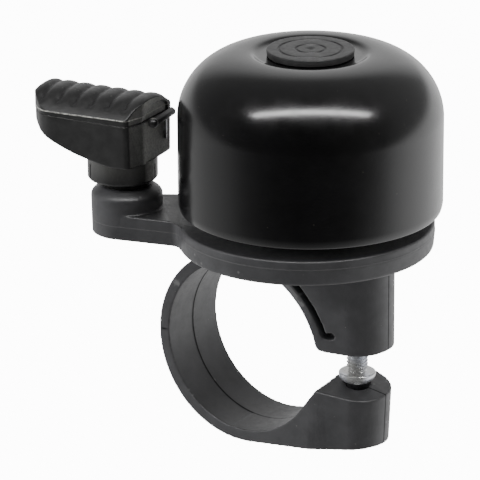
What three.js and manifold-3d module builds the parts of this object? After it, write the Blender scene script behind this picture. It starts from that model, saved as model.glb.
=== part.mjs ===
// Bicycle bell with a thumb lever and a strap clamp.
// Millimetres. The origin is the centre of the handlebar bore, +Z runs up the bell's axis,
// +Y runs along the handlebar and +X points to the clamp screw.

import * as THREE from "three";
import { mergeVertices } from "three/addons/utils/BufferGeometryUtils.js";
import Module from "manifold-3d";

const wasm = await Module();
wasm.setup();

// ---- driving dimensions ----------------------------------------------------------------------

const GAP = 0.3; // clearance between pieces that rest on each other

// handlebar ring
const BORE_R = 11.8;
const RING_WALL = 1.6;
const SADDLE_R = 12.25; // the block above the bar is cut a little wider than the ring
const BAND_WIDTH = 11;
const RING_R = BORE_R + RING_WALL;
const STRAP_ROOT = 190; // degrees round the ring where the strap starts to flex
const TANGENT_SLOPE = 6.6; // rise of the strap's straight underside, degrees
const STRAP_PARTING = 0.6; // angle left open between the ring's fixed part and the strap, degrees

// clamp bosses and screw
const SCREW_X = 15.1;
const BOSS_SHOULDER = 11.9; // where both bosses start to narrow
const BLOCK_BOSS_R = 4.9;
const BLOCK_BOTTOM = 2.1;
const STRAP_BOSS_R = 4.6;
const STRAP_TOP = -3.5; // height of the strap boss's top on the screw axis
const SCREW_R = 1.42;
const SCREW_HOLE_R = 1.72;
const SCREW_HEAD_R = 2.5;
const SCREW_SEAT = -1.75; // bearing face of the head, parked below the block
const SCREW_LENGTH = 20;
const SCREW_NECK_R = 1.25;
const SCREW_HEAD_HEIGHT = 1.65;
const SCREW_SLOT_HALF = 0.35;
const SCREW_SLOT_DEPTH = 0.9;
const HEAD_RECESS_R = SCREW_HEAD_R + 0.5; // recess in the strap boss that takes the head
const HEAD_RECESS_TOP = -9.6;
const NUT_R = 3.17;
const NUT_HEIGHT = 2.4;
const NUT_POCKET_R = 3.55;
const NUT_POCKET_DEPTH = 2.9;
const GROOVE_R = BORE_R + 2.05; // middle of the slot between the saddle and the block boss
const GROOVE_WIDTH = 1;
const GROOVE_DEPTH = 1.8;

// base disc
const BELL_X = 7.6; // axis of the bell, where the pillar and the dome stand
const DISC_SHIFT = 0.6; // the disc's centre lies this far from that axis, towards the lever post
const DISC_R = 17.1;
const DISC_BOTTOM = 14.8;
const DISC_TOP = 18.2;
const PILLAR_R = 4.6;
const PILLAR_TOP = 37.4;
const PILLAR_BORE_R = 3.1;
const PILLAR_BORE_DEPTH = 9.4;
const FOOT_R = 6.2; // the pillar's conical foot
const FOOT_HEIGHT = 1.6;

// dome and its fastening
const DOME_R = 17.5;
const DOME_RIM = 19.9;
const DOME_SHOULDER = 32.4; // where the straight wall turns into the crown
const DOME_CROWN = 41.2;
const CROWN_RING_R = 8.5; // highest ring of the crown
const DOME_SHEET = 1.2;
const RECESS_R = 7.8;
const RECESS_FLOOR = 40.7;
const WELL_R = 4.6;
const WELL_FLOOR = 39.4;
const DOME_HOLE_R = 2.3;
const DOME_SCREW_R = 1.9;
const DOME_SCREW_HEAD_R = 3.4;
const CAP_R = 5.75;
const CAP_TOP = 41.65;
const CAP_GROOVE = 0.16; // depth of the two rings in the cap's face

// lever post, out on the arm
const POST_ANGLE = 203.9; // degrees from +X, seen from above
const POST_REACH = 24.85;
const POST_X = BELL_X + POST_REACH * Math.cos(rad(POST_ANGLE));
const POST_Y = POST_REACH * Math.sin(rad(POST_ANGLE));
const DISC_X = BELL_X + DISC_SHIFT * Math.cos(rad(POST_ANGLE));
const DISC_Y = DISC_SHIFT * Math.sin(rad(POST_ANGLE));
const ARM_END_R = 4.7;
const ARM_BOTTOM = 15.15;
const ARM_FRONT = 16; // directions of the arm's two edges, degrees
const ARM_BACK = 33;
const ARM_TOP = 18.6;
const ARM_FILLET_START = 7.9; // distance from the arm's round end to the start of its fillets
const ARM_FILLET_CORNER = 8.9;
const ARM_FILLET_SPREAD = 23.5; // how far round the rim the fillets reach, degrees
const COLLAR_R = 4.8;
const COLLAR_TOP = 21.6;
const COLLAR_CONE = 0.86; // height of the collar's conical top
const COLLAR_FACE_R = 3.5;
const SPRING_POCKET_R = 2.9;
const PIN_R = 1.2;
const PIN_BORE_R = 1.5;
const PIN_TOP = 28.9;
const RETAINER_BOTTOM = 27.4;
const RETAINER_TOP = 28;

// lever, in its own frame: u points inwards to the dome, v to the back, the post at u = v = 0
const LEVER_TURN = 10.5; // direction of u, degrees from +X
const LEVER_HALF = 5.3;
const LEVER_INNER = 4.35;
const LEVER_OUTER = -12.9;
const LEVER_BOTTOM = 25.3;
const GRIP_BOTTOM = 31.25;
const GRIP_EDGE = 32.05;
const GRIP_CROWN = 2.25;
const GRIP_ROUNDNESS = 2.6; // exponent of the crown's section: 2 is a parabola, more is fuller
const RIB_COUNT = 7;
const HUB_R = 4.7;
const HUB_OFFSET = -0.55; // the hub stands a little outwards of the pin
const HUB_BOTTOM = 22.45;
const HUB_TOP = LEVER_BOTTOM - GAP;
const HOUSING_WALL = 1.2;
const SLIT_HALF = 0.45; // slot for the hammer's leaf
const SLIT_BOTTOM = 27.2;

// hammer, across the lever's inner end
const HAMMER_Z = 31.35;
const HAMMER_U = 5.15;
const HAMMER_PIVOT_V = 3.05;
const HAMMER_BAR_R = 0.6;
const HAMMER_LEAF_HALF = 0.15;
const BALL_V = -2.3;
const BALL_R = 0.67;

// ---- materials -------------------------------------------------------------------------------

const MATERIALS = {
  moulding: new THREE.MeshStandardMaterial({ color: 0x2f2f32, roughness: 0.5, metalness: 0 }),
  lever: new THREE.MeshStandardMaterial({ color: 0x1f1f20, roughness: 0.45, metalness: 0 }),
  paint: new THREE.MeshStandardMaterial({ color: 0x050506, roughness: 0.08, metalness: 0 }),
  cap: new THREE.MeshStandardMaterial({ color: 0x1b1b1d, roughness: 0.4, metalness: 0 }),
  zinc: new THREE.MeshStandardMaterial({ color: 0xc4c6c8, roughness: 0.28, metalness: 1 }),
  spring: new THREE.MeshStandardMaterial({ color: 0x9a9ca0, roughness: 0.3, metalness: 1 }),
  brass: new THREE.MeshStandardMaterial({ color: 0xb08d3c, roughness: 0.35, metalness: 1 }),
};

// ---- shape helpers ---------------------------------------------------------------------------

function rad(degrees) {
  return (degrees * Math.PI) / 180;
}

function signedVolume(position, index) {
  const a = new THREE.Vector3();
  const b = new THREE.Vector3();
  const c = new THREE.Vector3();
  let sum = 0;
  for (let i = 0; i < index.count; i += 3) {
    a.fromBufferAttribute(position, index.getX(i));
    b.fromBufferAttribute(position, index.getX(i + 1));
    c.fromBufferAttribute(position, index.getX(i + 2));
    sum += a.dot(b.cross(c));
  }
  return sum;
}

// A closed three.js geometry as a solid, with its faces turned outwards.
function solid(geometry) {
  geometry.deleteAttribute("normal");
  geometry.deleteAttribute("uv");
  const merged = mergeVertices(geometry, 1e-4);
  const { position } = merged.attributes;
  const triVerts = new Uint32Array(merged.index.array);
  if (signedVolume(position, merged.index) < 0) triVerts.reverse();
  const vertProperties = new Float32Array(position.array);
  return new wasm.Manifold(new wasm.Mesh({ numProp: 3, vertProperties, triVerts }));
}

function geometryOf(body) {
  const { vertProperties, triVerts } = body.getMesh();
  const geometry = new THREE.BufferGeometry();
  geometry.setAttribute("position", new THREE.BufferAttribute(new Float32Array(vertProperties), 3));
  geometry.setIndex(new THREE.BufferAttribute(new Uint32Array(triVerts), 1));
  geometry.computeVertexNormals();
  return geometry;
}

// Upright cylinder or cone between two heights.
function drum(radius, z0, z1, { x = 0, y = 0, top = radius, sides = 48 } = {}) {
  const geometry = new THREE.CylinderGeometry(top, radius, z1 - z0, sides);
  geometry.rotateX(Math.PI / 2);
  geometry.translate(x, y, (z0 + z1) / 2);
  return solid(geometry);
}

function block(x0, x1, y0, y1, z0, z1) {
  const geometry = new THREE.BoxGeometry(x1 - x0, y1 - y0, z1 - z0);
  geometry.translate((x0 + x1) / 2, (y0 + y1) / 2, (z0 + z1) / 2);
  return solid(geometry);
}

// Solid of revolution about an upright axis, from [radius, height] points.
function turned(points, { x = 0, y = 0, sides = 64 } = {}) {
  const profile = points.map(([r, z]) => new THREE.Vector2(r, z));
  const geometry = new THREE.LatheGeometry(profile, sides);
  geometry.rotateX(Math.PI / 2);
  geometry.translate(x, y, 0);
  return solid(geometry);
}

// Plan outline raised between two heights.
function raised(shape, z0, z1, curveSegments = 24) {
  const geometry = new THREE.ExtrudeGeometry(shape, { depth: z1 - z0, bevelEnabled: false, curveSegments });
  geometry.translate(0, 0, z0);
  return solid(geometry);
}

// Side outline, drawn in X and Z, carried across the width from y0 to y1.
function across(shape, y0, y1, curveSegments = 24) {
  const geometry = new THREE.ExtrudeGeometry(shape, { depth: y1 - y0, bevelEnabled: false, curveSegments });
  geometry.rotateX(Math.PI / 2);
  geometry.translate(0, y1, 0);
  return solid(geometry);
}

function outline(points) {
  return new THREE.Shape(points.map(([a, b]) => new THREE.Vector2(a, b)));
}

// Part of a ring between two angles in degrees, counted anticlockwise.
function sector(inner, outer, from, to) {
  const shape = new THREE.Shape();
  shape.absarc(0, 0, outer, rad(from), rad(to), false);
  shape.absarc(0, 0, inner, rad(to), rad(from), true);
  shape.closePath();
  return shape;
}

// Plan outline of a clamp boss: the band's full width, narrowing to a round end at the screw.
function bossOutline(backX, shoulderX, radius) {
  const half = BAND_WIDTH / 2;
  const reach = SCREW_X - shoulderX;
  const lean = Math.asin((half - radius) / reach);
  const shape = new THREE.Shape();
  shape.moveTo(backX, -half);
  shape.lineTo(shoulderX, -half);
  shape.absarc(SCREW_X, 0, radius, -Math.PI / 2 + lean, Math.PI / 2 - lean, false);
  shape.lineTo(shoulderX, half);
  shape.lineTo(backX, half);
  shape.closePath();
  return shape;
}

// ---- base moulding ---------------------------------------------------------------------------

// One edge of the arm, from the disc to where it meets the arm's round end. side is -1 for the
// front edge and +1 for the back one; a curved fillet runs out of the disc's rim.
function armEdge(side) {
  const heading = rad(side < 0 ? ARM_FRONT : ARM_BACK);
  const along = [Math.cos(heading), Math.sin(heading)];
  const start = [POST_X - side * ARM_END_R * along[1], POST_Y + side * ARM_END_R * along[0]];
  const at = (distance) => [start[0] + distance * along[0], start[1] + distance * along[1]];
  const rimAngle = rad(POST_ANGLE - side * ARM_FILLET_SPREAD);
  const rim = [DISC_X + DISC_R * Math.cos(rimAngle), DISC_Y + DISC_R * Math.sin(rimAngle)];
  return { start, fillet: at(ARM_FILLET_START), corner: at(ARM_FILLET_CORNER), rim };
}

function armOutline() {
  const front = armEdge(-1);
  const back = armEdge(1);
  const startAngle = rad(ARM_FRONT) - Math.PI / 2;
  const endAngle = rad(ARM_BACK) - (3 * Math.PI) / 2;
  const shape = new THREE.Shape();
  shape.moveTo(BELL_X - 8, -4);
  shape.lineTo(...front.rim);
  shape.quadraticCurveTo(...front.corner, ...front.fillet);
  shape.lineTo(...front.start);
  shape.absarc(POST_X, POST_Y, ARM_END_R, startAngle, endAngle, true);
  shape.lineTo(...back.fillet);
  shape.quadraticCurveTo(...back.corner, ...back.rim);
  shape.closePath();
  return shape;
}

function discAndArm() {
  const edge = 0.4;
  const disc = turned(
    [
      [0, DISC_BOTTOM],
      [DISC_R - edge, DISC_BOTTOM],
      [DISC_R, DISC_BOTTOM + edge],
      [DISC_R, DISC_TOP - edge],
      [DISC_R - edge, DISC_TOP],
      [0, DISC_TOP],
    ],
    { x: DISC_X, y: DISC_Y, sides: 72 },
  );
  const arm = raised(armOutline(), ARM_BOTTOM, ARM_TOP);
  const post = { x: POST_X, y: POST_Y };
  const collar = drum(COLLAR_R, DISC_TOP - 1, COLLAR_TOP - COLLAR_CONE + 0.01, post);
  const cone = drum(COLLAR_R, COLLAR_TOP - COLLAR_CONE, COLLAR_TOP, { ...post, top: COLLAR_FACE_R });
  const springPocket = drum(SPRING_POCKET_R, DISC_TOP + 0.2, COLLAR_TOP + 1, post);
  const pinHole = drum(PIN_BORE_R, ARM_BOTTOM + 0.8, DISC_TOP + 1, { ...post, sides: 24 });
  return disc.add(arm).add(collar).add(cone).subtract(springPocket).subtract(pinHole);
}

function pillar() {
  const post = drum(PILLAR_R, DISC_TOP - 1, PILLAR_TOP, { x: BELL_X });
  const foot = drum(FOOT_R, DISC_TOP - 0.5, DISC_TOP + FOOT_HEIGHT, { x: BELL_X, top: PILLAR_R - 0.1 });
  const boreFloor = PILLAR_TOP - PILLAR_BORE_DEPTH;
  const insertHole = drum(PILLAR_BORE_R, boreFloor, PILLAR_TOP + 1, { x: BELL_X, sides: 24 });
  return post.add(foot).subtract(insertHole);
}

// The moulded-out slot between the saddle wall and the boss, open at the front and the back.
function blockGroove() {
  const inner = GROOVE_R - GROOVE_WIDTH / 2;
  const outer = GROOVE_R + GROOVE_WIDTH / 2;
  const slot = across(sector(inner, outer, 17, 52), -GROOVE_DEPTH, GROOVE_DEPTH);
  const hook = block(inner - 0.3, outer + 0.4, -GROOVE_DEPTH, GROOVE_DEPTH, 4, 4.9);
  const section = slot.add(hook);
  const offset = BAND_WIDTH / 2;
  return section.translate([0, -offset, 0]).add(section.translate([0, offset, 0]));
}

function clampBlock() {
  const half = BAND_WIDTH / 2;
  const boss = raised(bossOutline(5, BOSS_SHOULDER, BLOCK_BOSS_R), BLOCK_BOTTOM, DISC_BOTTOM + 1);
  const web = block(-6, 6, -half, half, 6, DISC_BOTTOM + 1);
  const ring = across(sector(BORE_R, RING_R, 60, STRAP_ROOT - 1), -half, half, 40);
  const circle = new THREE.Shape().absarc(0, 0, SADDLE_R, 0, 2 * Math.PI, false);
  const bore = across(circle, -half - 1, half + 1, 48);
  return boss.add(web).subtract(bore).add(ring).subtract(blockGroove());
}

function nutPocket() {
  return drum(NUT_POCKET_R, DISC_TOP - NUT_POCKET_DEPTH, DISC_TOP + 1, { x: SCREW_X, sides: 6 });
}

function baseBody() {
  const screwHole = drum(SCREW_HOLE_R, BLOCK_BOTTOM - 1, DISC_TOP + 1, { x: SCREW_X, sides: 24 });
  return discAndArm().add(pillar()).add(clampBlock()).subtract(screwHole).subtract(nutPocket());
}

// ---- clamp -----------------------------------------------------------------------------------

// Side view of the strap: the ring's lower part, its straight tangent and the boss.
function strapOutline() {
  const slope = rad(TANGENT_SLOPE);
  const bossEdge = SCREW_X + STRAP_BOSS_R + 1;
  const tangent = [RING_R * Math.sin(slope), -RING_R * Math.cos(slope)];
  const shape = new THREE.Shape();
  shape.absarc(0, 0, RING_R, rad(STRAP_ROOT + STRAP_PARTING), rad(270 + TANGENT_SLOPE), false);
  shape.lineTo(bossEdge, tangent[1] + (bossEdge - tangent[0]) * Math.tan(slope));
  shape.lineTo(bossEdge, STRAP_TOP + 1);
  shape.lineTo(BOSS_SHOULDER, STRAP_TOP + 1);
  shape.lineTo(BOSS_SHOULDER, STRAP_TOP - 0.15);
  shape.absarc(0, 0, BORE_R, rad(325), rad(STRAP_ROOT + STRAP_PARTING), true);
  shape.closePath();
  return shape;
}

// A half space above a sloping plane through the strap boss's top, as a large block.
function above(slopeX, slopeY, lift) {
  const size = 40;
  const geometry = new THREE.BoxGeometry(size, size, size);
  geometry.translate(0, 0, size / 2);
  const normal = new THREE.Vector3(-slopeX, -slopeY, 1).normalize();
  const turn = new THREE.Quaternion().setFromUnitVectors(new THREE.Vector3(0, 0, 1), normal);
  geometry.applyQuaternion(turn);
  geometry.translate(SCREW_X, 0, STRAP_TOP + lift);
  return solid(geometry);
}

function clampStrap() {
  const half = BAND_WIDTH / 2;
  const side = across(strapOutline(), -half, half, 40);
  const plan = raised(bossOutline(-20, BOSS_SHOULDER, STRAP_BOSS_R), -20, 5);
  const hole = drum(SCREW_HOLE_R, -20, 5, { x: SCREW_X, sides: 24 });
  const headRecess = drum(HEAD_RECESS_R, -20, HEAD_RECESS_TOP, { x: SCREW_X, sides: 32 });
  const topFacet = above(-0.15, 0.12, 0);
  const backFacet = above(-0.19, 0.01, 0.2);
  const boss = side.intersect(plan).subtract(hole).subtract(headRecess);
  return boss.subtract(topFacet).subtract(backFacet);
}

function clampScrew() {
  const seat = SCREW_SEAT;
  const tip = seat + SCREW_LENGTH;
  const shape = turned(
    [
      [0, seat - SCREW_HEAD_HEIGHT],
      [1.2, seat - 1.5],
      [2.1, seat - 1.1],
      [SCREW_HEAD_R, seat - 0.45],
      [SCREW_HEAD_R, seat - 0.1],
      [SCREW_HEAD_R - 0.15, seat],
      [SCREW_NECK_R, seat],
      [SCREW_NECK_R, seat + 1],
      [SCREW_R, seat + 1.2],
      [SCREW_R, tip - 0.5],
      [SCREW_R - 0.5, tip],
      [0, tip],
    ],
    { x: SCREW_X, sides: 32 },
  );
  const slotFloor = seat - SCREW_HEAD_HEIGHT + SCREW_SLOT_DEPTH;
  const slot = block(SCREW_X - 4, SCREW_X + 4, -SCREW_SLOT_HALF, SCREW_SLOT_HALF, seat - 3, slotFloor);
  return shape.subtract(slot);
}

function clampNut() {
  const bottom = DISC_TOP - 2.6;
  const hexagon = drum(NUT_R, bottom, bottom + NUT_HEIGHT, { x: SCREW_X, sides: 6 });
  return hexagon.subtract(drum(SCREW_R + 0.05, bottom - 1, DISC_TOP + 1, { x: SCREW_X, sides: 32 }));
}

// ---- dome ------------------------------------------------------------------------------------

// Quarter ellipse from the straight wall up to the crown's highest ring.
function crownArc(wallR, ringR, shoulder, crown, steps) {
  const points = [];
  for (let i = 0; i <= steps; i += 1) {
    const t = (i / steps) * (Math.PI / 2);
    points.push([ringR + (wallR - ringR) * Math.cos(t), shoulder + (crown - shoulder) * Math.sin(t)]);
  }
  return points;
}

function domeShell() {
  const inner = DOME_R - DOME_SHEET;
  const sheet = DOME_SHEET;
  return turned(
    [
      [DOME_R - 0.9, DOME_RIM],
      [DOME_R - 0.3, DOME_RIM],
      [DOME_R, DOME_RIM + 1],
      ...crownArc(DOME_R, CROWN_RING_R, DOME_SHOULDER, DOME_CROWN, 12),
      [RECESS_R, DOME_CROWN - 0.1],
      [RECESS_R - 0.8, RECESS_FLOOR],
      [WELL_R + 0.3, RECESS_FLOOR],
      [WELL_R, RECESS_FLOOR - 0.3],
      [WELL_R, WELL_FLOOR],
      [DOME_HOLE_R, WELL_FLOOR],
      [DOME_HOLE_R, WELL_FLOOR - sheet],
      [WELL_R + sheet - 0.2, WELL_FLOOR - sheet],
      [WELL_R + sheet, WELL_FLOOR],
      ...crownArc(inner, CROWN_RING_R - 0.6, DOME_SHOULDER, DOME_CROWN - sheet, 8).reverse(),
      [inner, DOME_RIM + 1],
      [DOME_R - 0.9, DOME_RIM],
    ],
    { x: BELL_X, sides: 72 },
  );
}

function domeCap() {
  const ringGroove = (r) => [
    [r + 0.28, CAP_TOP],
    [r + 0.1, CAP_TOP - CAP_GROOVE],
    [r - 0.1, CAP_TOP - CAP_GROOVE],
    [r - 0.28, CAP_TOP],
  ];
  const skirt = RECESS_FLOOR + 0.1;
  return turned(
    [
      [0, CAP_TOP - 0.55],
      [WELL_R - 0.9, CAP_TOP - 0.55],
      [WELL_R - 0.9, skirt - 0.8],
      [WELL_R - GAP, skirt - 0.8],
      [WELL_R - GAP, skirt],
      [CAP_R, skirt],
      [CAP_R, CAP_TOP - 0.25],
      [CAP_R - 0.25, CAP_TOP],
      ...ringGroove(0.72 * CAP_R),
      ...ringGroove(0.33 * CAP_R),
      [0.6, CAP_TOP],
      [0, CAP_TOP - CAP_GROOVE],
    ],
    { x: BELL_X, sides: 48 },
  );
}

function domeScrew() {
  const seat = WELL_FLOOR + 0.05;
  const bottom = PILLAR_TOP - 8.6;
  return turned(
    [
      [0, bottom],
      [DOME_SCREW_R - 0.5, bottom],
      [DOME_SCREW_R, bottom + 0.5],
      [DOME_SCREW_R, seat],
      [DOME_SCREW_HEAD_R, seat],
      [DOME_SCREW_HEAD_R, seat + 0.8],
      [DOME_SCREW_HEAD_R - 0.8, seat + 1.4],
      [0, seat + 1.4],
    ],
    { x: BELL_X, sides: 32 },
  );
}

function sleeve(inner, outer, z0, z1, at) {
  return turned([[inner, z0], [outer, z0], [outer, z1], [inner, z1], [inner, z0]], { sides: 32, ...at });
}

function domeWasher() {
  const top = WELL_FLOOR - DOME_SHEET - 0.1;
  return sleeve(DOME_SCREW_R + GAP, PILLAR_R - 0.4, PILLAR_TOP + 0.1, top, { x: BELL_X });
}

function pillarInsert() {
  const top = PILLAR_TOP - 0.2;
  return sleeve(DOME_SCREW_R + 0.05, PILLAR_BORE_R - 0.25, top - 8.8, top, { x: BELL_X });
}

// ---- lever pivot, on the base ----------------------------------------------------------------

const AT_POST = { x: POST_X, y: POST_Y };

function pivotPin() {
  return drum(PIN_R, ARM_BOTTOM + 1.1, PIN_TOP, { ...AT_POST, sides: 24 });
}

function pinWasher() {
  return sleeve(PIN_BORE_R, 3.3, COLLAR_TOP + 0.1, HUB_BOTTOM - 0.15, AT_POST);
}

function pinRetainer() {
  return sleeve(PIN_R + 0.05, PIN_R + 1, RETAINER_BOTTOM, RETAINER_TOP, AT_POST);
}

class Helix extends THREE.Curve {
  constructor(radius, pitch, turns) {
    super();
    this.radius = radius;
    this.pitch = pitch;
    this.turns = turns;
  }

  getPoint(t, target = new THREE.Vector3()) {
    const angle = t * this.turns * 2 * Math.PI;
    const rise = t * this.turns * this.pitch;
    return target.set(this.radius * Math.cos(angle), this.radius * Math.sin(angle), rise);
  }
}

function returnSpring() {
  const wire = 0.28;
  const turns = 3.5;
  const section = new THREE.Shape().absarc(0, 0, wire, 0, 2 * Math.PI, false);
  const extrudePath = new Helix(2.2, 0.68, turns);
  const steps = Math.round(turns * 18);
  const geometry = new THREE.ExtrudeGeometry(section, { steps, extrudePath, curveSegments: 4 });
  geometry.translate(POST_X, POST_Y, DISC_TOP + 0.55);
  return solid(geometry);
}

// ---- lever, in its own frame -----------------------------------------------------------------

function leverPlan(inset = 0) {
  const side = LEVER_HALF - inset;
  const inner = LEVER_INNER - inset;
  const outer = LEVER_OUTER + inset;
  return outline([
    [-9.9 + inset, -side],
    [2.6 - inset, -side],
    [3.8 - inset, -2.3],
    [inner, side - 0.5],
    [inner - 0.5, side],
    [outer + 2.2, side],
    [outer + 0.8, side - 1.6],
    [outer, 1],
    [outer + 0.5, -2.5 + inset],
  ]);
}

// Side view of the housing: flat over the hub, then sweeping up to the thin outer tip.
function housingSide() {
  const shape = new THREE.Shape();
  shape.moveTo(LEVER_INNER, GRIP_BOTTOM - GAP);
  shape.lineTo(LEVER_INNER, LEVER_BOTTOM + 0.4);
  shape.lineTo(LEVER_INNER - 0.4, LEVER_BOTTOM);
  shape.lineTo(0, LEVER_BOTTOM);
  shape.quadraticCurveTo(-7.6, LEVER_BOTTOM + 1.2, LEVER_OUTER, GRIP_BOTTOM - GAP - 0.2);
  shape.lineTo(LEVER_OUTER, GRIP_BOTTOM - GAP);
  shape.closePath();
  return shape;
}

function leverHousing() {
  const body = across(housingSide(), -LEVER_HALF, LEVER_HALF, 10);
  const plan = raised(leverPlan(), LEVER_BOTTOM - 1, GRIP_BOTTOM);
  const hollowPlan = raised(leverPlan(HOUSING_WALL), LEVER_BOTTOM + 1.7, GRIP_BOTTOM + 1);
  const hollow = hollowPlan.intersect(block(-6.5, 9, -9, 9, 0, 50));
  const pinBore = drum(PIN_BORE_R, LEVER_BOTTOM - 1, GRIP_BOTTOM, { sides: 24 });
  const slitSides = [HAMMER_PIVOT_V - SLIT_HALF, HAMMER_PIVOT_V + SLIT_HALF];
  const slit = block(1, 9, ...slitSides, SLIT_BOTTOM, GRIP_BOTTOM + 1);
  return body.intersect(plan).subtract(hollow).subtract(pinBore).subtract(slit);
}

// The grip's length, scalloped into rounded ribs that run across it.
function ribbedSide() {
  const apex = GRIP_EDGE + GRIP_CROWN;
  const pitch = (LEVER_INNER - LEVER_OUTER - 0.2) / RIB_COUNT;
  const shape = new THREE.Shape();
  shape.moveTo(LEVER_OUTER, GRIP_BOTTOM);
  shape.lineTo(LEVER_OUTER, GRIP_EDGE + 0.4);
  for (let i = 0; i < RIB_COUNT; i += 1) {
    const start = LEVER_OUTER + i * pitch;
    shape.quadraticCurveTo(start + pitch / 2, apex + 0.4, start + pitch, apex - 0.45);
  }
  shape.lineTo(LEVER_INNER, apex - 0.5);
  shape.lineTo(LEVER_INNER, GRIP_BOTTOM);
  shape.closePath();
  return shape;
}

// The grip's section: upright to the edge of the lip, then a full crown over the top.
function crownSection() {
  const steps = 12;
  const points = [
    [LEVER_HALF, GRIP_BOTTOM - 1],
    [-LEVER_HALF, GRIP_BOTTOM - 1],
  ];
  for (let i = -steps; i <= steps; i += 1) {
    const v = (LEVER_HALF * i) / steps;
    points.push([v, GRIP_EDGE + GRIP_CROWN * (1 - Math.abs(i / steps) ** GRIP_ROUNDNESS)]);
  }
  return outline(points);
}

function leverGrip() {
  const length = 24;
  const vault = new THREE.ExtrudeGeometry(crownSection(), { depth: length, bevelEnabled: false });
  vault.rotateX(Math.PI / 2);
  vault.rotateZ(Math.PI / 2);
  vault.translate(LEVER_OUTER - 2, 0, 0);
  const ribs = across(ribbedSide(), -LEVER_HALF, LEVER_HALF, 5);
  const plan = raised(leverPlan(), GRIP_BOTTOM, GRIP_EDGE + GRIP_CROWN + 1);
  const lip = raised(leverPlan(), GRIP_BOTTOM, GRIP_EDGE);
  return plan.intersect(ribs).intersect(solid(vault)).add(lip);
}

function leverHub() {
  return turned(
    [
      [0, HUB_BOTTOM],
      [HUB_R - 0.6, HUB_BOTTOM],
      [HUB_R, HUB_BOTTOM + 0.6],
      [HUB_R, HUB_TOP],
      [0, HUB_TOP],
    ],
    { x: HUB_OFFSET, sides: 48 },
  ).subtract(drum(PIN_BORE_R, HUB_BOTTOM - 1, HUB_TOP + 1, { sides: 24 }));
}

// ---- hammer, in the lever's frame ------------------------------------------------------------

function hammerBar() {
  const start = BALL_V + BALL_R + 0.06;
  const length = HAMMER_PIVOT_V + 0.45 - start;
  const geometry = new THREE.CylinderGeometry(HAMMER_BAR_R, HAMMER_BAR_R, length, 6);
  geometry.translate(HAMMER_U, start + length / 2, HAMMER_Z);
  return solid(geometry);
}

function hammerBall() {
  const geometry = new THREE.SphereGeometry(BALL_R, 20, 14);
  geometry.translate(HAMMER_U, BALL_V, HAMMER_Z + 0.05);
  return solid(geometry);
}

function hammerLeaf() {
  const half = HAMMER_LEAF_HALF;
  const reach = HAMMER_U - HAMMER_BAR_R - 0.02;
  return block(1.8, reach, HAMMER_PIVOT_V - half, HAMMER_PIVOT_V + half, 27.6, GRIP_BOTTOM - GAP);
}

// ---- assembly --------------------------------------------------------------------------------

const FIXED_PIECES = [
  ["base_body", "moulding", baseBody],
  ["clamp_strap", "moulding", clampStrap],
  ["clamp_screw", "zinc", clampScrew],
  ["clamp_nut", "zinc", clampNut],
  ["dome", "paint", domeShell],
  ["dome_cap", "cap", domeCap],
  ["dome_screw", "zinc", domeScrew],
  ["dome_washer", "zinc", domeWasher],
  ["pillar_insert", "brass", pillarInsert],
  ["pivot_pin", "zinc", pivotPin],
  ["pin_washer", "lever", pinWasher],
  ["pin_retainer", "spring", pinRetainer],
  ["return_spring", "spring", returnSpring],
];

const LEVER_PIECES = [
  ["lever_housing", "lever", leverHousing],
  ["lever_grip", "lever", leverGrip],
  ["lever_hub", "lever", leverHub],
  ["hammer_bar", "lever", hammerBar],
  ["hammer_ball", "lever", hammerBall],
  ["hammer_leaf", "spring", hammerLeaf],
];

function addPieces(group, pieces) {
  for (const [name, material, make] of pieces) {
    const mesh = new THREE.Mesh(geometryOf(make()), MATERIALS[material]);
    mesh.name = name;
    group.add(mesh);
  }
}

const bell = new THREE.Group();
addPieces(bell, FIXED_PIECES);

const lever = new THREE.Group();
lever.position.set(POST_X, POST_Y, 0);
lever.rotation.z = rad(LEVER_TURN);
addPieces(lever, LEVER_PIECES);
bell.add(lever);

export default bell;
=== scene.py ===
"""Looks for the bicycle bell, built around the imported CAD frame."""

import math

import bmesh
import bpy
import numpy as np
from mathutils import Matrix, Vector


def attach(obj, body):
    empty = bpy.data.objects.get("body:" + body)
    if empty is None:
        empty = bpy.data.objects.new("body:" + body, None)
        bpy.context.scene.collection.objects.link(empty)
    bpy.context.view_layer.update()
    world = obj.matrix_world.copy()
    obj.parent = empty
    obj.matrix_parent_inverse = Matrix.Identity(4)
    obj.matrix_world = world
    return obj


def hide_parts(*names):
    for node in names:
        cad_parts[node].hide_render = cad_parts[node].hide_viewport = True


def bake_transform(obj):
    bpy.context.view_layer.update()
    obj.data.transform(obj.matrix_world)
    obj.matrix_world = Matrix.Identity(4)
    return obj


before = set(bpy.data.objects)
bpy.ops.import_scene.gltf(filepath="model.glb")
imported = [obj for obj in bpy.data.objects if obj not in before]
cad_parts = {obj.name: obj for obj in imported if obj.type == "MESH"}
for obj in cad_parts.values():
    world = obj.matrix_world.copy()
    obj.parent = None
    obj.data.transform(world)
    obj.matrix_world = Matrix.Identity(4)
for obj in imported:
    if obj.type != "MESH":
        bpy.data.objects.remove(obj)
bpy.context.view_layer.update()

MM = 0.001  # every shape below is drawn in millimetres and scaled by this at the end

# ---- places, from the CAD ----------------------------------------------------------------------

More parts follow.
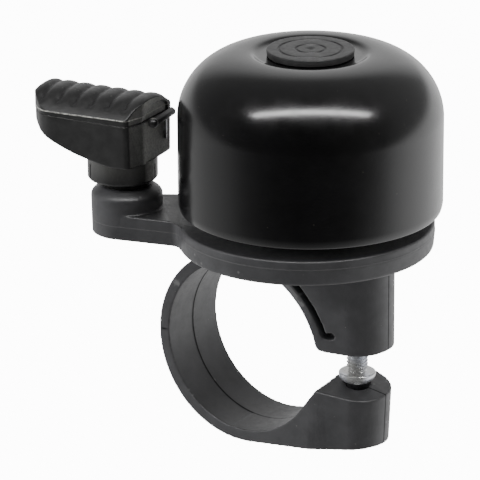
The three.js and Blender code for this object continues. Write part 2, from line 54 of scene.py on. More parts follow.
BORE_R = 11.8
RING_R = 13.4
SADDLE_R = 12.25
BAND_HALF = 5.5
SCREW_X = 15.1
SCREW_SEAT = -1.75
SCREW_LENGTH = 20.0
SCREW_HOLE_R = 1.72
THREAD_ROOT_R = 1.12
THREAD_DEPTH = 0.32
THREAD_PITCH = 0.5
THREAD_START = SCREW_SEAT + 0.2
BLOCK_BOTTOM = 2.1
BLOCK_BOSS_R = 4.9
STRAP_BOSS_R = 4.6
STRAP_TOP = -3.5
STRAP_SLOPE = math.radians(6.6)
BOSS_SHOULDER = 11.9  # where the bosses start to narrow from the band's width
BELL_X = 7.6
DISC_SHIFT = 0.6
DISC_R = 17.1
DISC_BOTTOM = 14.8
DISC_TOP = 18.2
PILLAR_TOP = 37.4
DOME_R = 17.5
DOME_RIM = 19.9
DOME_SHOULDER = 32.4
DOME_CROWN = 41.2
CROWN_RING_R = 8.5
DOME_SHEET = 1.2
RECESS_FLOOR = 40.7
WELL_R = 4.6
WELL_FLOOR = 39.4
CAP_R = 5.75
CAP_TOP = 41.65
POST_ANGLE = math.radians(203.9)
POST_REACH = 24.85
POST = (BELL_X + POST_REACH * math.cos(POST_ANGLE), POST_REACH * math.sin(POST_ANGLE))
DISC = (BELL_X + DISC_SHIFT * math.cos(POST_ANGLE), DISC_SHIFT * math.sin(POST_ANGLE))
ARM_END_R = 4.7
ARM_FRONT_HEADING = 16  # degrees
ARM_BACK_HEADING = 33
ARM_FILLET = (7.9, 8.9, math.radians(23.5))  # start and corner along the edge, spread on the rim
PIVOT_HOLE_R = 1.5
ARM_BOTTOM = 15.15
ARM_TOP = 18.6
LEVER_TURN = math.radians(10.5)
LEVER_HALF = 5.3
LEVER_INNER = 4.35
LEVER_OUTER = -12.9
LEVER_BOTTOM = 25.3
GRIP_BOTTOM = 31.25
GRIP_EDGE = 32.05
HAMMER_Z = 31.35
HAMMER_U = 5.15
HAMMER_BAR_R = 0.6
HAMMER_PIVOT_V = 3.05
BALL_V = -2.3
BALL_R = 0.67

# ---- camera ------------------------------------------------------------------------------------

CAMERA_AZIMUTH = math.radians(35.27)
CAMERA_ELEVATION = math.radians(19.627)
CAMERA_ROLL = math.radians(-0.388)
CAMERA_DISTANCE = 504.74
CAMERA_AIM = (7.59, 0.0, 18.54)
CAMERA_SHIFT = (-9.314, -3.186)  # sideways and up from the line through the aim point
CAMERA_LENS = 286.4

TO_CAMERA = Vector(
    (
        math.sin(CAMERA_AZIMUTH) * math.cos(CAMERA_ELEVATION),
        -math.cos(CAMERA_AZIMUTH) * math.cos(CAMERA_ELEVATION),
        math.sin(CAMERA_ELEVATION),
    )
)


def make_camera():
    data = bpy.data.cameras.new("camera")
    data.lens = CAMERA_LENS
    data.clip_start = 0.01
    data.clip_end = 20.0
    camera = bpy.data.objects.new("camera", data)
    bpy.context.scene.collection.objects.link(camera)
    side = Vector((math.cos(CAMERA_AZIMUTH), math.sin(CAMERA_AZIMUTH), 0))
    level = side.cross(-TO_CAMERA)
    right = side * math.cos(CAMERA_ROLL) + level * math.sin(CAMERA_ROLL)
    up = level * math.cos(CAMERA_ROLL) - side * math.sin(CAMERA_ROLL)
    place = Vector(CAMERA_AIM) + TO_CAMERA * CAMERA_DISTANCE
    place += right * CAMERA_SHIFT[0] + up * CAMERA_SHIFT[1]
    turn = Matrix((right, up, TO_CAMERA)).transposed()
    camera.matrix_world = Matrix.LocRotScale(place * MM, turn.to_quaternion(), None)
    bpy.context.scene.camera = camera


# ---- outlines ----------------------------------------------------------------------------------


def eased(points, steps=6, closed=True):
    """Rounds corners. A point is (a, b) or (a, b, reach): its curve begins that far from it."""
    rounded = []
    ends = () if closed else (0, len(points) - 1)
    for i, (a, b, *reach) in enumerate(points):
        if not reach or i in ends:
            rounded.append((a, b))
            continue
        corner = Vector((a, b))
        before = Vector(points[i - 1][:2]) - corner
        after = Vector(points[(i + 1) % len(points)][:2]) - corner
        start = corner + before.normalized() * reach[0]
        end = corner + after.normalized() * reach[0]
        for step in range(steps + 1):
            t = step / steps
            rounded.append(tuple((1 - t) ** 2 * start + 2 * t * (1 - t) * corner + t * t * end))
    return rounded


def arc(a, b, radius, start, end, steps=48):
    """Points round (a, b) between two directions in degrees."""
    turns = [math.radians(start + (end - start) * i / steps) for i in range(steps + 1)]
    return [(a + radius * math.cos(t), b + radius * math.sin(t)) for t in turns]


def bend(start, control, end, steps=16):
    """A quadratic curve between two points."""
    made = []
    for i in range(steps + 1):
        t = i / steps
        made.append(
            tuple(
                (1 - t) ** 2 * s + 2 * t * (1 - t) * c + t * t * e
                for s, c, e in zip(start, control, end)
            )
        )
    return made


def stroke(path, half):
    """The outline of a path drawn with a round-ended pen."""
    points = [Vector(p) for p in path]
    left, right = [], []
    for i, point in enumerate(points):
        along = (points[min(i + 1, len(points) - 1)] - points[max(i - 1, 0)]).normalized()
        across = Vector((-along.y, along.x)) * half
        left.append(tuple(point + across))
        right.append(tuple(point - across))
    heading = math.degrees(math.atan2(*reversed(points[-1] - points[-2])))
    tip = arc(*points[-1], half, heading + 80, heading - 80, 8)
    return left + tip + right[::-1]


# ---- solids ------------------------------------------------------------------------------------


def shape(name, vertices, faces):
    """A closed mesh object with its faces turned outwards."""
    mesh = bpy.data.meshes.new(name)
    mesh.from_pydata([tuple(v) for v in vertices], [], faces)
    made = bmesh.new()
    made.from_mesh(mesh)
    bmesh.ops.remove_doubles(made, verts=made.verts, dist=1e-5)
    bmesh.ops.recalc_face_normals(made, faces=made.faces)
    made.to_mesh(mesh)
    made.free()
    obj = bpy.data.objects.new(name, mesh)
    bpy.context.scene.collection.objects.link(obj)
    return obj


def prism(name, outline, low, high, along="z"):
    """An outline carried between two levels of one axis; its values are the other two axes."""
    order = {"x": (1, 2, 0), "y": (0, 2, 1), "z": (0, 1, 2)}[along]
    count = len(outline)
    vertices = np.zeros((2 * count, 3))
    vertices[:, order[0]] = [a for a, _ in outline] * 2
    vertices[:, order[1]] = [b for _, b in outline] * 2
    vertices[:, order[2]] = [low] * count + [high] * count
    sides = [(i, (i + 1) % count, count + (i + 1) % count, count + i) for i in range(count)]
    caps = [tuple(range(count)), tuple(range(count, 2 * count))]
    return shape(name, vertices, sides + caps)


def lathe(name, profile, centre=(0, 0), sides=192):
    """A solid turned about an upright axis, from (radius, height) points."""
    turned = bmesh.new()
    corners = [turned.verts.new((r, 0, z)) for r, z in profile]
    edges = [turned.edges.new(pair) for pair in zip(corners, corners[1:])]
    bmesh.ops.spin(
        turned,
        geom=corners + edges,
        axis=(0, 0, 1),
        cent=(0, 0, 0),
        angle=math.tau,
        steps=sides,
        use_merge=True,
    )
    bmesh.ops.remove_doubles(turned, verts=turned.verts, dist=1e-5)
    bmesh.ops.recalc_face_normals(turned, faces=turned.faces)
    bmesh.ops.translate(turned, verts=turned.verts, vec=(*centre, 0))
    mesh = bpy.data.meshes.new(name)
    turned.to_mesh(mesh)
    turned.free()
    obj = bpy.data.objects.new(name, mesh)
    bpy.context.scene.collection.objects.link(obj)
    return obj


def drum(radius, low, high, centre=(0, 0), sides=96):
    return lathe("drum", [(0, low), (radius, low), (radius, high), (0, high)], centre, sides)


def relief(name, us, vs, top, bottom):
    """A block whose upper face follows heights top[u, v] over a grid."""
    rows, columns = len(us), len(vs)
    grid_u, grid_v = np.meshgrid(us, vs, indexing="ij")
    upper = np.stack([grid_u, grid_v, top], axis=-1).reshape(-1, 3)
    lower = upper.copy()
    lower[:, 2] = bottom
    count = rows * columns
    faces = []
    for i in range(rows - 1):
        for j in range(columns - 1):
            a, b = i * columns + j, (i + 1) * columns + j
            faces.append((a, b, b + 1, a + 1))
    rim = [i * columns for i in range(rows)]
    rim += [(rows - 1) * columns + j for j in range(1, columns)]
    rim += [i * columns + columns - 1 for i in range(rows - 2, -1, -1)]
    rim += list(range(columns - 2, 0, -1))
    for here, there in zip(rim, rim[1:] + rim[:1]):
        faces.append((here, there, there + count, here + count))
    faces.append(tuple(v + count for v in rim))
    used = np.concatenate([upper, lower])
    return shape(name, used, faces)


def bake(obj):
    """Applies the modifiers to the mesh."""
    evaluated = obj.evaluated_get(bpy.context.evaluated_depsgraph_get())
    mesh = bpy.data.meshes.new_from_object(evaluated)
    obj.modifiers.clear()
    obj.data = mesh
    return obj


def discard(obj):
    bpy.data.objects.remove(obj)


def combine(obj, tool, operation="DIFFERENCE"):
    """Cuts the tool from the object, or joins or intersects the two, and removes the tool."""
    modifier = obj.modifiers.new("combine", "BOOLEAN")
    modifier.operation = operation
    modifier.solver = "MANIFOLD"
    modifier.object = tool
    bake(obj)
    discard(tool)
    return obj


def gather(name, parts):
    """One mesh from several overlapping solids."""
    joined = bmesh.new()
    for part in parts:
        joined.from_mesh(part.data)
        discard(part)
    mesh = bpy.data.meshes.new(name)
    joined.to_mesh(mesh)
    joined.free()
    obj = bpy.data.objects.new(name, mesh)
    bpy.context.scene.collection.objects.link(obj)
    return obj


def melt(obj, voxel, passes, kept=1.0):
    """Fuses overlapping solids into one skin with rounded edges and keeps a share of its faces."""
    fuse = obj.modifiers.new("fuse", "REMESH")
    fuse.mode = "VOXEL"
    fuse.voxel_size = voxel
    soften = obj.modifiers.new("soften", "SMOOTH")
    soften.factor = 0.5
    soften.iterations = passes
    if kept < 1:
        thin = obj.modifiers.new("thin", "DECIMATE")
        thin.ratio = kept
    return bake(obj)


def keep_side(obj, point, normal):
    """Removes what lies on the far side of a plane."""
    cut = bmesh.new()
    cut.from_mesh(obj.data)
    everything = cut.verts[:] + cut.edges[:] + cut.faces[:]
    bmesh.ops.bisect_plane(cut, geom=everything, plane_co=point, plane_no=normal, clear_outer=True)
    cut.to_mesh(obj.data)
    cut.free()
    return obj


def reshape(obj, move):
    """Moves every vertex: move takes and returns the x, y and z arrays."""
    points = np.array([v.co for v in obj.data.vertices])
    moved = np.stack(move(*points.T), axis=-1)
    obj.data.vertices.foreach_set("co", moved.astype(np.float32).ravel())
    obj.data.update()
    return obj


def finished(obj, material, nodes, body, smooth=True, angle=None):
    """Scales a piece to metres, paints it and hangs it on its body in place of its CAD nodes."""
    obj.data.transform(Matrix.Scale(MM, 4))
    obj.data.shade_smooth() if smooth else obj.data.shade_flat()
    if angle is not None:
        obj.data.set_sharp_from_angle(angle=math.radians(angle))
    obj.data.materials.clear()
    obj.data.materials.append(material)
    if nodes:
        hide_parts(*nodes)
    if body:
        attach(obj, body)
    return obj


# ---- materials ---------------------------------------------------------------------------------


class Surface:
    """A Principled material, with short calls that add nodes to it."""

    def __init__(self, name, **settings):
        self.material = bpy.data.materials.new(name)
        self.material.use_nodes = True
        self.tree = self.material.node_tree
        self.shader = self.tree.nodes["Principled BSDF"]
        for socket, value in settings.items():
            self.shader.inputs[self.socket(socket)].default_value = value
        self.place = self.tree.nodes.new("ShaderNodeTexCoord").outputs["Object"]

    @staticmethod
    def socket(name):
        return name.replace("_", " ").title().replace("Ior", "IOR")

    def add(self, kind, *links, **settings):
        """A node; links are (input, output to take it from) and settings are its own values."""
        node = self.tree.nodes.new("ShaderNode" + kind)
        for key, value in settings.items():
            setattr(node, key, value)
        for socket, source in links:
            if isinstance(source, bpy.types.NodeSocket):
                self.tree.links.new(source, node.inputs[socket])
            else:
                node.inputs[socket].default_value = source
        return node

    def noise(self, size, detail=2.0, rough=0.5):
        """Cloudy values whose patches are about size millimetres across."""
        node = self.add(
            "TexNoise",
            ("Vector", self.place),
            ("Scale", 1 / (size * MM)),
            ("Detail", detail),
            ("Roughness", rough),
        )
        return node.outputs[0]

    def specks(self, spacing, size):
        """1 inside small dots about spacing millimetres apart, a share of them left out."""
        cells = self.add(
            "TexVoronoi", ("Vector", self.place), ("Scale", 1 / (spacing * MM)), ("Randomness", 1.0)
        )
        inside = self.math("LESS_THAN", cells.outputs["Distance"], size / spacing)
        chosen = self.add("SeparateColor", (0, cells.outputs["Color"]))
        few = self.math("LESS_THAN", chosen.outputs[0], 0.3)
        return self.math("MULTIPLY", inside, few)

    def math(self, operation, a, b, c=0.0):
        return self.add("Math", (0, a), (1, b), (2, c), operation=operation).outputs[0]

    def levels(self, value, low, high, floor=0.0, ceiling=1.0):
        """Maps low..high to floor..ceiling."""
        node = self.add(
            "MapRange",
            ("Value", value),
            ("From Min", low),
            ("From Max", high),
            ("To Min", floor),
            ("To Max", ceiling),
        )
        return node.outputs[0]

    def mix(self, factor, a, b):
        """Colour a where the factor is 0 and b where it is 1."""
        node = self.add("Mix", (0, factor), (6, a), (7, b), data_type="RGBA")
        return node.outputs[2]

    def edges(self, low=0.52, high=0.6):
        """1 on the outer corners of a dense mesh."""
        geometry = self.tree.nodes.new("ShaderNodeNewGeometry")
        return self.levels(geometry.outputs["Pointiness"], low, high)

    def bump(self, height, depth, strength=1.0, under=None):
        """A relief of the given depth in millimetres, over an earlier one."""
        links = [("Height", height), ("Distance", depth * MM), ("Strength", strength)]
        if under is not None:
            links.append(("Normal", under))
        return self.add("Bump", *links).outputs[0]

    def use(self, **sources):
        """Links outputs to the shader's sockets and returns the material."""
        for socket, source in sources.items():
            self.tree.links.new(source, self.shader.inputs[self.socket(socket)])
        return self.material


def grey(value, tint=0.0):
    return (value, value, value * (1 + tint), 1.0)


def moulded_plastic(name, dark, light, grain, seams):
    """Injection-moulded plastic: clouded tone, fine grain, edges lightened by wear, dust and seam lines;
    the clamp's seam carries painted shade and the disc's a painted highlight.
    """
    s = Surface(name)
    clouds = s.levels(s.noise(3.5, 4.0, 0.6), 0.35, 0.65)
    tone = s.mix(clouds, grey(dark, 0.05), grey(light, 0.05))
    tone = s.mix(s.levels(s.edges(), 0, 1, 0, 0.5), tone, grey(light * 3.2))
    tone = s.mix(s.specks(0.9, 0.035), tone, grey(0.25, -0.1))
    height = s.noise(0.16, 3.0, 0.7)
    relief_normal = s.bump(height, grain, 0.6)
    relief_normal = s.bump(s.noise(1.8, 2.0), 0.02, 0.5, relief_normal)
    if seams:
        disc, clamp = seam_lines(s)
        # painted shade: the clamp's parting line is darkened as the shade in its small step
        tone = s.mix(s.math("MULTIPLY", clamp, 0.75), tone, grey(dark * 0.2))
        # painted highlight: the disc's and arm's parting line is lightened as if its raised line caught the
        # light
        tone = s.mix(s.math("MULTIPLY", disc, 0.5), tone, grey(light * 2))
        relief_normal = s.bump(s.math("MAXIMUM", disc, clamp), 0.06, 1.0, relief_normal)
        s.use(Specular_IOR_Level=s.levels(clamp, 0, 1, 0.5, 0.1))
    gloss = s.levels(s.noise(0.9, 4.0, 0.7), 0.3, 0.7, 0.36, 0.5)
    return s.use(Base_Color=tone, Roughness=gloss, Normal=relief_normal)


def seam_lines(s):
    """The mould's parting lines: round the disc and arm, and down the middle of the clamp; the caller
    paints shade and a highlight along them.
    """
    parts = s.add("SeparateXYZ", (0, s.place))
    y, z = parts.outputs[1:]
    disc = s.math("COMPARE", z, 17.05 * MM, 0.06 * MM)
    clamp = s.math("COMPARE", y, 0.0, 0.11 * MM)
    return disc, s.math("MULTIPLY", clamp, s.math("LESS_THAN", z, 14.7 * MM))


def lever_plastic(name, painted_end_light):
    s = Surface(name)
    clouds = s.levels(s.noise(2.2, 4.0, 0.6), 0.35, 0.65)
    tone = s.mix(clouds, grey(0.012), grey(0.02))
    tone = s.mix(s.levels(s.edges(0.53, 0.62), 0, 1, 0, 0.45), tone, grey(0.11, -0.06))
    tone = s.mix(s.specks(0.8, 0.035), tone, grey(0.22, -0.1))
    relief_normal = s.bump(s.noise(0.2, 3.0, 0.75), 0.02, 0.7)
    relief_normal = s.bump(s.noise(1.1, 2.0), 0.03, 0.6, relief_normal)
    gloss = s.levels(s.noise(0.6, 4.0, 0.7), 0.3, 0.7, 0.3, 0.48)
    height = s.add("SeparateXYZ", (0, s.place)).outputs[2]
    # painted highlight: a light, broken band along the grip's top edge, standing in for light caught by its
    # lip
    lip = s.math("COMPARE", height, GRIP_EDGE * MM, 0.08 * MM)
    lip_highlight = s.math("MULTIPLY", lip, s.levels(s.noise(0.35, 4.0, 0.7), 0.4, 0.6, 0.15, 0.9))
    tone = s.mix(lip_highlight, tone, grey(0.4, -0.08))
    if painted_end_light:
        # painted light: faces turned towards the dome, the lever's end face, are lightened with a speckled
        # light grey for the light falling on them
        normal = s.add("NewGeometry").outputs["Normal"]
        inwards = (math.cos(LEVER_TURN), math.sin(LEVER_TURN), 0)
        facing = s.add("VectorMath", (0, normal), (1, inwards), operation="DOT_PRODUCT")
        end_face_light = s.levels(facing.outputs["Value"], 0.9, 0.997)
        tone = s.mix(s.math("MULTIPLY", end_face_light, s.noise(0.3, 3.0, 0.7)), tone, grey(0.5, -0.04))
    return s.use(Base_Color=tone, Roughness=gloss, Normal=relief_normal)


def dome_paint():
    """Gloss black paint with a slight orange peel and dust nibs."""
    s = Surface("dome_paint", coat_weight=0.3, coat_roughness=0.12)
    tone = s.mix(s.noise(5.0, 3.0), grey(0.0018), grey(0.0035, 0.1))
    tone = s.mix(s.specks(1.1, 0.03), tone, (0.22, 0.2, 0.15, 1.0))
    peel = s.bump(s.noise(0.5, 2.0), 0.0035, 0.8)
    peel = s.bump(s.noise(0.12, 2.0, 0.7), 0.0025, 0.7, peel)
    peel = s.bump(s.specks(1.3, 0.05), 0.012, 0.5, peel)
    gloss = s.levels(s.noise(2.5, 5.0, 0.65), 0.3, 0.7, 0.18, 0.27)
    s.tree.links.new(peel, s.shader.inputs["Coat Normal"])
    return s.use(Base_Color=tone, Roughness=gloss, Normal=peel)


def painted_shade_washer():
    # painted shade: a near-black finish for the pin washer, standing in for the shade under the lever hub
    s = Surface("painted_shade_washer", specular_ior_level=0.25)
    tone = s.mix(s.levels(s.noise(0.8, 3.0), 0.35, 0.65), grey(0.002), grey(0.005))
    gloss = s.levels(s.noise(0.4, 3.0), 0.3, 0.7, 0.5, 0.65)
    return s.use(Base_Color=tone, Roughness=gloss, Normal=s.bump(s.noise(0.15, 3.0), 0.008, 0.6))


def cap_plastic():
    s = Surface("cap_plastic")
    tone = s.mix(s.levels(s.noise(1.6, 4.0, 0.6), 0.35, 0.65), grey(0.017), grey(0.027))
    tone = s.mix(s.levels(s.edges(), 0, 1, 0, 0.35), tone, grey(0.1))
    tone = s.mix(s.specks(0.8, 0.035), tone, grey(0.25, -0.1))
    relief_normal = s.bump(s.noise(0.14, 3.0, 0.7), 0.01, 0.6)
    gloss = s.levels(s.noise(0.7, 4.0, 0.7), 0.3, 0.7, 0.38, 0.52)
    return s.use(Base_Color=tone, Roughness=gloss, Normal=relief_normal)


def plated_metal(name, bright, dull, low, high, metallic=1.0):
    """Plated metal: broad tarnish clouds and slightly uneven gloss."""
    s = Surface(name, metallic=metallic)
    tone = s.mix(s.levels(s.noise(2.5, 2.0), 0.35, 0.65), bright, dull)
    gloss = s.levels(s.noise(2.0, 2.0), 0.3, 0.7, low, high)
    return s.use(Base_Color=tone, Roughness=gloss)


# ---- base moulding -----------------------------------------------------------------------------


def boss_outline(back, shoulder, radius):
    """Plan of a clamp boss: the band's full width, narrowing to a round end at the screw."""
    lean = math.degrees(math.asin((BAND_HALF - radius) / (SCREW_X - shoulder)))
    end = arc(SCREW_X, 0, radius, -90 + lean, 90 - lean, 64)
    front = eased([(back, -BAND_HALF), (shoulder, -BAND_HALF, 1.6), end[0]], closed=False)
    return [*front, *end[1:], *((x, -y) for x, y in front[-2::-1])]


def arm_edge(side):
    """One edge of the arm, from its round end to the disc's rim, with a curved run-out."""
    start_at, corner_at, spread = ARM_FILLET
    heading = math.radians(ARM_FRONT_HEADING if side < 0 else ARM_BACK_HEADING)
    along = Vector((math.cos(heading), math.sin(heading)))
    start = Vector(POST) + side * ARM_END_R * Vector((-along.y, along.x))
    rim_angle = POST_ANGLE - side * spread
    rim = (DISC[0] + DISC_R * math.cos(rim_angle), DISC[1] + DISC_R * math.sin(rim_angle))
    curve = bend(start + along * start_at, start + along * corner_at, rim)
    return [tuple(start), *curve]


def arm_outline():
    front = arm_edge(-1)
    back = arm_edge(1)
    end = arc(*POST, ARM_END_R, ARM_FRONT_HEADING - 90, ARM_BACK_HEADING - 270, 48)
    return [(BELL_X - 8, -4), *reversed(front[1:]), *end, *back[1:]]


def base_disc():
    profile = eased(
        [
            (0, DISC_BOTTOM),
            (DISC_R - 0.2, DISC_BOTTOM, 0.35),
            (DISC_R, 17.0),
            (DISC_R - 0.05, 17.1),
            (DISC_R - 0.05, DISC_TOP, 0.3),
            (0, DISC_TOP),
        ],
        closed=False,
    )
    return lathe("disc", profile, DISC, 256)


def base_arm():
    """The arm, whose top drops to the disc's level before it goes under the dome."""
    arm = prism("arm", arm_outline(), ARM_BOTTOM, ARM_TOP)
    step = [(0, DISC_TOP), (17.3, DISC_TOP), (18.9, ARM_TOP + 0.05), (18.9, 20), (0, 20)]
    combine(arm, lathe("step", step, (BELL_X, 0)))
    return combine(arm, drum(PIVOT_HOLE_R, ARM_BOTTOM + 0.8, 20, POST))


def base_collar():
    profile = eased(
        [
            (2.9, DISC_TOP + 0.2),
            (2.9, 21.6),
            (3.55, 21.6, 0.25),
            (4.45, 21.0, 0.35),
            (4.8, 20.55, 0.35),
            (4.72, 16.0),
            (2.9, 16.0),
            (2.9, DISC_TOP + 0.2),
        ],
        closed=False,
    )
    return lathe("collar", profile, POST)


def clamp_block():
    """The saddle over the handlebar and the boss that the screw comes up through."""
    half = BAND_HALF
    bottom = [(12.07, BLOCK_BOTTOM, 1.0), (20.3, BLOCK_BOTTOM, 0.8)]
    saddle = arc(0, 0, SADDLE_R, 119.3, 18, 72)
    profile = eased([(-6, 15.8), *saddle, *bottom, (20.3, 15.8)], closed=False)
    block = prism("block", profile, -half - 0.5, half + 0.5, "y")
    combine(block, prism("plan", boss_outline(-8, BOSS_SHOULDER, BLOCK_BOSS_R), 0, 17), "INTERSECT")
    middle = BORE_R + 2.05
    slot = arc(0, 0, middle, 54, 19.5, 32)
    hook = bend((13.0, 4.75), (13.3, 4.25), (14.3, 4.5), 6)
    for side in (-1, 1):
        for path in (slot, hook):
            combine(block, prism("groove", stroke(path, 0.45), side * 3.7, side * 6.5, "y"))
    return combine(block, drum(SCREW_HOLE_R, 0, 20, (SCREW_X, 0)))


def ring_band(start, end):
    """Part of the handlebar ring; its front half is cut a hair deeper inside."""
    parts = []
    for low, high, inner in ((-BAND_HALF, 0.02, BORE_R + 0.07), (-0.02, BAND_HALF, BORE_R)):
        outline = [*arc(0, 0, RING_R, start, end, 128), *arc(0, 0, inner, end, start, 128)]
        parts.append(prism("band", outline, low, high, "y"))
    return parts


SKIN = {"voxel": 0.14, "passes": 2}


def base_moulding(material):
    wall = [(3.1, 28), (3.1, PILLAR_TOP), (4.6, PILLAR_TOP)]
    foot = [(4.6, 19.8), (6.2, 17.8), (3.1, 17.8), (3.1, 28)]
    pillar = lathe("pillar", [*wall, *foot], (BELL_X, 0))
    disc = base_disc()
    combine(disc, drum(SCREW_HOLE_R, 10, 20, (SCREW_X, 0)))
    combine(disc, lathe("pocket", [(0, 15.3), (3.55, 15.3), (3.55, 19), (0, 19)], (SCREW_X, 0), 6))
    parts = [disc, base_arm(), base_collar(), clamp_block(), pillar, *ring_band(60, 200)]
    base = melt(gather("base_moulding", parts), **SKIN, kept=0.33)
    keep_side(base, (0, 0, -0.1), (0, 0, -1))
    return finished(base, material, ["base_body"], "bell_base")


# ---- clamp -------------------------------------------------------------------------------------


def half_space(slope_x, slope_y, lift):
    """Everything above a sloping plane through the strap boss's top, as a large block."""
    size = 20
    corners = []
    for z in (0, size):
        for x, y in ((-size, -size), (size, -size), (size, size), (-size, size)):
            corners.append((SCREW_X + x, y, STRAP_TOP + lift + slope_x * x + slope_y * y + z))
    faces = [(0, 1, 2, 3), (4, 5, 6, 7), (0, 1, 5, 4), (1, 2, 6, 5), (2, 3, 7, 6), (3, 0, 4, 7)]
    return shape("half_space", corners, faces)


def strap_boss():
    """The strap's straight run-out and boss, drawn from the side and trimmed in plan."""
    slope = STRAP_SLOPE
    edge = SCREW_X + STRAP_BOSS_R + 1
    foot = (RING_R * math.sin(slope), -RING_R * math.cos(slope))
    back = [(BOSS_SHOULDER, STRAP_TOP + 1), (BOSS_SHOULDER, STRAP_TOP - 0.15, 0.3), (9.67, -6.77)]
    side = [
        *arc(0, 0, RING_R, 262, 270 + math.degrees(slope), 12),
        (edge, foot[1] + (edge - foot[0]) * math.tan(slope)),
        (edge, STRAP_TOP + 1),
        *eased(back, closed=False),
        *arc(0, 0, BORE_R, 325, 262, 48)[1:],
    ]
    boss = prism("boss", side, -BAND_HALF - 0.5, BAND_HALF + 0.5, "y")
    combine(boss, prism("plan", boss_outline(-20, BOSS_SHOULDER, STRAP_BOSS_R), -20, 5), "INTERSECT")
    combine(boss, drum(SCREW_HOLE_R, -20, 5, (SCREW_X, 0)))
    combine(boss, drum(3.0, -20, -9.6, (SCREW_X, 0)))
    combine(boss, half_space(-0.15, 0.12, 0))
    combine(boss, half_space(-0.19, 0.01, 0.2))
    return reshape(boss, boss_draft)


def boss_draft(x, y, z):
    """Narrows the boss a little towards its bottom."""
    beyond = np.clip((x - 11) / 3, 0, 1)
    depth = np.clip((STRAP_TOP - z) / 9, 0, 1)
    pull = 0.09 * beyond * depth
    return SCREW_X + (x - SCREW_X) * (1 - pull * (x > SCREW_X)), y * (1 - pull), z


def strap_moulding(material):
    strap = melt(gather("strap_moulding", [strap_boss(), *ring_band(160, 266)]), **SKIN)
    keep_side(strap, (0, 0, 0.1), (0, 0, 1))
    finished(strap, material, ["clamp_strap"], None)
    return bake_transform(strap)


def thread(x, y, z):
    """Raises an M3 thread on the shaft of the clamp screw."""
    dx = x - SCREW_X
    radius = np.hypot(dx, y)
    low, high = THREAD_START, SCREW_SEAT + SCREW_LENGTH
    run = np.clip((z - low) / 0.4, 0, 1) * np.clip((high - z) / 0.6, 0, 1)
    phase = (z / THREAD_PITCH - np.arctan2(y, dx) / math.tau) % 1
    ridge = np.clip(1.15 - 2.6 * np.abs(phase - 0.5), 0, 1)
    on_shaft = (np.abs(radius - THREAD_ROOT_R) < 0.02) * run
    scale = 1 + on_shaft * (THREAD_DEPTH * ridge) / np.maximum(radius, 0.5)
    return SCREW_X + dx * scale, y * scale, z


def clamp_screw(material):
    """The slotted screw: a rounded head under a threaded shaft."""
    seat = SCREW_SEAT
    tip = seat + SCREW_LENGTH
    head = eased(
        [
            (0, seat - 1.65),
            (1.0, seat - 1.6, 0.3),
            (1.9, seat - 1.3, 0.3),
            (2.45, seat - 0.7, 0.3),
            (2.5, seat - 0.1, 0.12),
            (2.35, seat, 0.06),
            (1.3, seat, 0.06),
            (THREAD_ROOT_R, THREAD_START),
        ],
        closed=False,
    )
    rows = int(SCREW_LENGTH / 0.06)
    run = SCREW_LENGTH - 0.4
    shaft = [(THREAD_ROOT_R, THREAD_START + run * i / rows) for i in range(1, rows + 1)]
    screw = lathe("zinc_screw", [*head, *shaft, (0.9, tip), (0, tip)], (SCREW_X, 0), 64)
    reshape(screw, thread)
    slot = eased([(-0.35, seat - 3), (0.35, seat - 3), (0.35, seat - 0.8, 0.1), (-0.35, seat - 0.8, 0.1)])
    combine(screw, prism("slot", slot, SCREW_X - 4, SCREW_X + 4, "x"))
    return finished(screw, material, ["clamp_screw"], "clamp_screw")


# ---- dome --------------------------------------------------------------------------------------


def crown(wall, ring, shoulder, top, steps):
    """Quarter ellipse from the straight wall up to the crown's highest ring."""
    turns = [math.pi / 2 * i / steps for i in range(steps + 1)]
    return [(ring + (wall - ring) * math.cos(t), shoulder + (top - shoulder) * math.sin(t)) for t in turns]


def dome(material):
    inner = DOME_R - DOME_SHEET
    rim = [(DOME_R - 0.95, DOME_RIM + 0.35), (DOME_R - 0.8, DOME_RIM, 0.25), (DOME_R - 0.25, DOME_RIM, 0.3)]
    rim += [(DOME_R, DOME_RIM + 0.9, 0.4), (DOME_R, DOME_RIM + 3)]
    recess = [
        (CROWN_RING_R, DOME_CROWN),
        (7.85, DOME_CROWN - 0.03, 0.35),
        (7.0, RECESS_FLOOR, 0.45),
        (WELL_R + 0.2, RECESS_FLOOR, 0.3),
        (WELL_R, WELL_FLOOR, 0.2),
        (2.3, WELL_FLOOR),
        (2.3, WELL_FLOOR - DOME_SHEET),
        (WELL_R + DOME_SHEET, WELL_FLOOR - DOME_SHEET, 0.4),
        (WELL_R + DOME_SHEET + 0.2, WELL_FLOOR + 0.1),
    ]
    lining = crown(inner, CROWN_RING_R - 0.6, DOME_SHOULDER, DOME_CROWN - DOME_SHEET, 40)
    profile = eased(rim, closed=False)
    profile += crown(DOME_R, CROWN_RING_R, DOME_SHOULDER, DOME_CROWN, 64)
    profile += eased(recess, closed=False)[1:]
    profile += [*lining[::-1], (inner, DOME_RIM + 1.2), profile[0]]
    made = lathe("bell_dome", profile, (BELL_X, 0), 256)
    return finished(made, material, ["dome"], "bell_base", angle=60)


